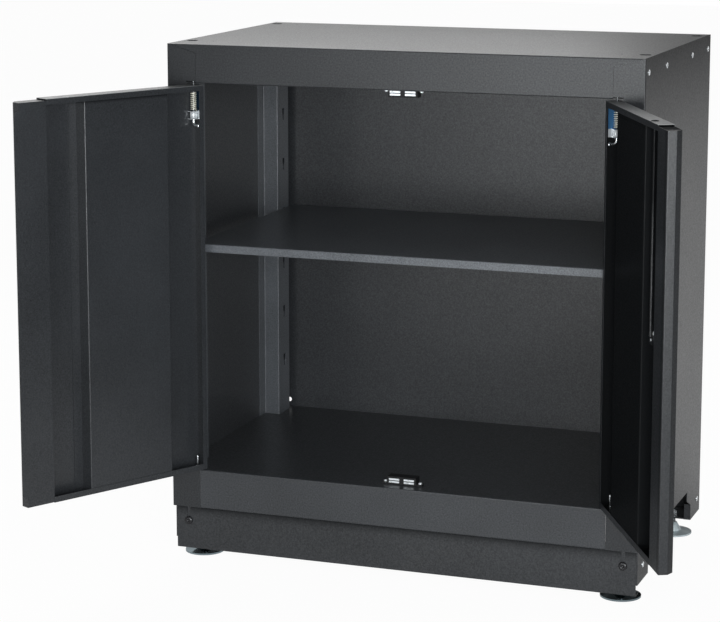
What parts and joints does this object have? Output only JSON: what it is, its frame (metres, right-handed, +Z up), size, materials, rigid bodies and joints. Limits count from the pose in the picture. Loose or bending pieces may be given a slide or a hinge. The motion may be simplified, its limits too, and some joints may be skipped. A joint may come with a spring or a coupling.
{
  "type": "low cabinet",
  "caption": "Low steel workshop cabinet with hinged doors on sprung bolts, a lift-off shelf on slotted posts, a cam lock with rod, magnetic catches and levelling feet.",
  "frame": {"origin": "on the floor, at mid width, in the plane of the front frame", "axes": "+X to the right seen from the front, +Y to the back, +Z up"},
  "size_m": [1.1056, 0.8484, 0.919],
  "materials": {
    "body_paint": "satin powder coat",
    "door_paint": "satin powder coat",
    "shelf_paint": "satin powder coat",
    "zinc": "zinc plated",
    "spring_steel": "zinc plated",
    "catch_steel": "bright",
    "black_plastic": "matte"
  },
  "bodies": {
    "carcass": {"back_panel": "body_paint", "catch_housing_lower": "black_plastic", "catch_housing_upper": "black_plastic", "catch_plates_lower": "catch_steel", "catch_plates_upper": "catch_steel", "catch_screws_lower": "zinc", "catch_screws_upper": "zinc", "floor_panel": "body_paint", "foot_bracket_front_left": "body_paint", "foot_bracket_front_right": "body_paint", "foot_bracket_rear_left": "body_paint", "foot_bracket_rear_right": "body_paint", "foot_nuts": "zinc", "front_post_left": "body_paint", "front_post_right": "body_paint", "module_inserts_left": "zinc", "module_inserts_right": "zinc", "plinth_panel": "body_paint", "plinth_screws": "zinc", "rear_post_left": "body_paint", "rear_post_right": "body_paint", "shelf_clips": "zinc", "side_panel_left": "body_paint", "side_panel_right": "body_paint", "top_panel": "body_paint"},
    "left_door": {"door_skin_left": "door_paint", "door_stiffener_left": "door_paint", "hinge_bracket_left": "zinc", "lower_pivot_left": "zinc"},
    "right_door": {"door_skin_right": "door_paint", "door_stiffener_right": "door_paint", "hinge_bracket_right": "zinc", "lock_body": "zinc", "lock_nut": "zinc", "lower_pivot_right": "zinc"},
    "foot_front_left": {"foot_front_left": "zinc"},
    "foot_front_right": {"foot_front_right": "zinc"},
    "foot_rear_left": {"foot_rear_left": "zinc"},
    "foot_rear_right": {"foot_rear_right": "zinc"},
    "left_bolt": {"hinge_bolt_left": "zinc", "hinge_spring_left": "spring_steel"},
    "right_bolt": {"hinge_bolt_right": "zinc", "hinge_spring_right": "spring_steel"},
    "lock_cylinder": {"lock_cam": "zinc", "lock_plug": "zinc"},
    "lock_rod": {"lock_rod": "zinc"},
    "shelf": {"shelf": "shelf_paint"}
  },
  "joints": [
    {"name": "left_door_swing", "type": "hinge", "parent": "carcass", "child": "left_door", "pos_m": [-0.3755, 0.0044, 0.164], "axis": [0, 0, 1], "range_deg": [0, 118]},
    {"name": "right_door_swing", "type": "hinge", "parent": "carcass", "child": "right_door", "pos_m": [0.3755, 0.0044, 0.164], "axis": [0, 0, -1], "range_deg": [0, 118]},
    {"name": "shelf_lift", "type": "slide", "parent": "carcass", "child": "shelf", "axis": [0, 0, 1], "range_m": [0, 0.06]},
    {"name": "left_bolt_pull", "type": "slide", "parent": "left_door", "child": "left_bolt", "axis": [0, 0, -1], "range_m": [0, 0.012], "stiffness_N_per_m": 400, "springref_m": -0.02, "deforming": ["hinge_spring_left"]},
    {"name": "right_bolt_pull", "type": "slide", "parent": "right_door", "child": "right_bolt", "axis": [0, 0, -1], "range_m": [0, 0.012], "stiffness_N_per_m": 400, "springref_m": -0.02, "deforming": ["hinge_spring_right"]},
    {"name": "lock_turn", "type": "hinge", "parent": "right_door", "child": "lock_cylinder", "pos_m": [0.50836, -0.24547, 0.518], "axis": [0.8829, 0.4695, 0], "range_deg": [0, 90]},
    {"name": "rod_lift", "type": "slide", "parent": "right_door", "child": "lock_rod", "axis": [0, 0, 1], "range_m": [0, 0.012]},
    {"name": "foot_front_left_turn", "type": "hinge", "parent": "carcass", "child": "foot_front_left", "pos_m": [-0.3845, 0.053, 0], "axis": [0, 0, 1], "continuous": true},
    {"name": "foot_front_right_turn", "type": "hinge", "parent": "carcass", "child": "foot_front_right", "pos_m": [0.3845, 0.053, 0], "axis": [0, 0, 1], "continuous": true},
    {"name": "foot_rear_left_turn", "type": "hinge", "parent": "carcass", "child": "foot_rear_left", "pos_m": [-0.3845, 0.452, 0], "axis": [0, 0, 1], "continuous": true},
    {"name": "foot_rear_right_turn", "type": "hinge", "parent": "carcass", "child": "foot_rear_right", "pos_m": [0.3845, 0.452, 0], "axis": [0, 0, 1], "continuous": true}
  ],
  "couplings": [
    {"joint": "lock_turn", "follows": "rod_lift", "rad_per_m": 130.9}
  ]
}
